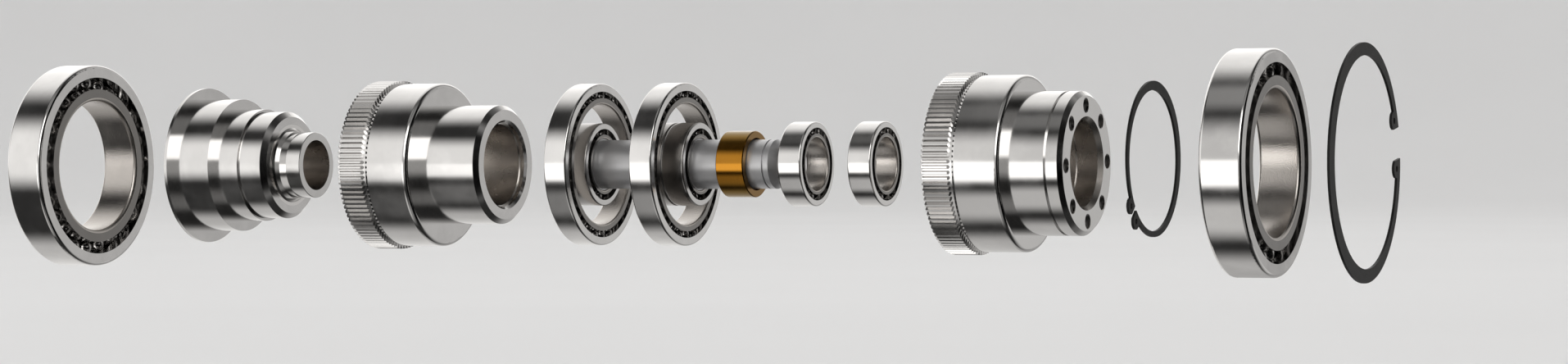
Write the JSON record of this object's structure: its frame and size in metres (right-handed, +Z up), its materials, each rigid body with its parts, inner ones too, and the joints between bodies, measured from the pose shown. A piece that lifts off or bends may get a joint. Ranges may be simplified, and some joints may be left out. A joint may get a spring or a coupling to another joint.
{
  "type": "strain wave gear",
  "caption": "Strain wave gear drawn apart on its axis: finely toothed gear cups, stepped input sleeve, shaft, bronze spacer, open ball bearings and retaining rings.",
  "frame": {"origin": "centre of the output bolt face, on the common axis", "axes": "+X along the axis toward the output side, +Z up, rest pose as drawn apart in the picture"},
  "size_m": [0.4182, 0.0644, 0.0644],
  "materials": {
    "polished_steel": "polished, turned",
    "bearing_steel": "ground and polished",
    "ball_chrome": "mirror polished",
    "cage_dark": "dark pressed steel",
    "bronze": "turned bronze",
    "spring_dark": "black phosphate",
    "shaft_steel": "satin ground"
  },
  "bodies": {
    "fixed": {"fixed_gear": "polished_steel", "big_left_outer": "bearing_steel", "big_right_outer": "bearing_steel", "small_1_outer": "bearing_steel", "small_2_outer": "bearing_steel", "small_3_outer": "bearing_steel", "thin_1_inner": "bearing_steel", "thin_2_inner": "bearing_steel", "clip_internal": "spring_dark"},
    "input": {"input_sleeve": "polished_steel", "shaft": "shaft_steel", "bronze_spacer": "bronze", "big_left_inner": "bearing_steel", "small_1_inner": "bearing_steel", "small_2_inner": "bearing_steel", "small_3_inner": "bearing_steel", "small_4_inner": "bearing_steel", "small_5_inner": "bearing_steel"},
    "output": {"output_gear": "polished_steel", "clip_external": "spring_dark", "big_right_inner": "bearing_steel", "small_4_outer": "bearing_steel", "small_5_outer": "bearing_steel", "thin_1_outer": "bearing_steel", "thin_2_outer": "bearing_steel"},
    "left_cage": {"big_left_cage": "cage_dark", "big_left_balls": "ball_chrome"},
    "fixed_small_cages": {"small_1_cage": "cage_dark", "small_1_balls": "ball_chrome", "small_2_cage": "cage_dark", "small_2_balls": "ball_chrome", "small_3_cage": "cage_dark", "small_3_balls": "ball_chrome"},
    "output_small_cages": {"small_4_cage": "cage_dark", "small_4_balls": "ball_chrome", "small_5_cage": "cage_dark", "small_5_balls": "ball_chrome"},
    "thin_cages": {"thin_1_cage": "cage_dark", "thin_1_balls": "ball_chrome", "thin_2_cage": "cage_dark", "thin_2_balls": "ball_chrome"},
    "right_cage": {"big_right_cage": "cage_dark", "big_right_balls": "ball_chrome"}
  },
  "joints": [
    {"name": "input_spin", "type": "hinge", "parent": "fixed", "child": "input", "pos_m": [0, 0, 0], "axis": [1, 0, 0], "continuous": true},
    {"name": "output_spin", "type": "hinge", "parent": "fixed", "child": "output", "pos_m": [0, 0, 0], "axis": [1, 0, 0], "continuous": true},
    {"name": "left_cage_spin", "type": "hinge", "parent": "fixed", "child": "left_cage", "pos_m": [0, 0, 0], "axis": [1, 0, 0], "continuous": true},
    {"name": "fixed_small_cages_spin", "type": "hinge", "parent": "fixed", "child": "fixed_small_cages", "pos_m": [0, 0, 0], "axis": [1, 0, 0], "continuous": true},
    {"name": "output_small_cages_spin", "type": "hinge", "parent": "fixed", "child": "output_small_cages", "pos_m": [0, 0, 0], "axis": [1, 0, 0], "continuous": true},
    {"name": "thin_cages_spin", "type": "hinge", "parent": "fixed", "child": "thin_cages", "pos_m": [0, 0, 0], "axis": [1, 0, 0], "continuous": true},
    {"name": "right_cage_spin", "type": "hinge", "parent": "fixed", "child": "right_cage", "pos_m": [0, 0, 0], "axis": [1, 0, 0], "continuous": true}
  ],
  "couplings": [
    {"joint": "output_spin", "follows": "input_spin", "ratio": 0.019608},
    {"joint": "left_cage_spin", "follows": "input_spin", "ratio": 0.4451},
    {"joint": "fixed_small_cages_spin", "follows": "input_spin", "ratio": 0.42821},
    {"joint": "output_small_cages_spin", "follows": "input_spin", "ratio": 0.43942},
    {"joint": "thin_cages_spin", "follows": "input_spin", "ratio": 0.010593},
    {"joint": "right_cage_spin", "follows": "input_spin", "ratio": 0.0087274}
  ]
}
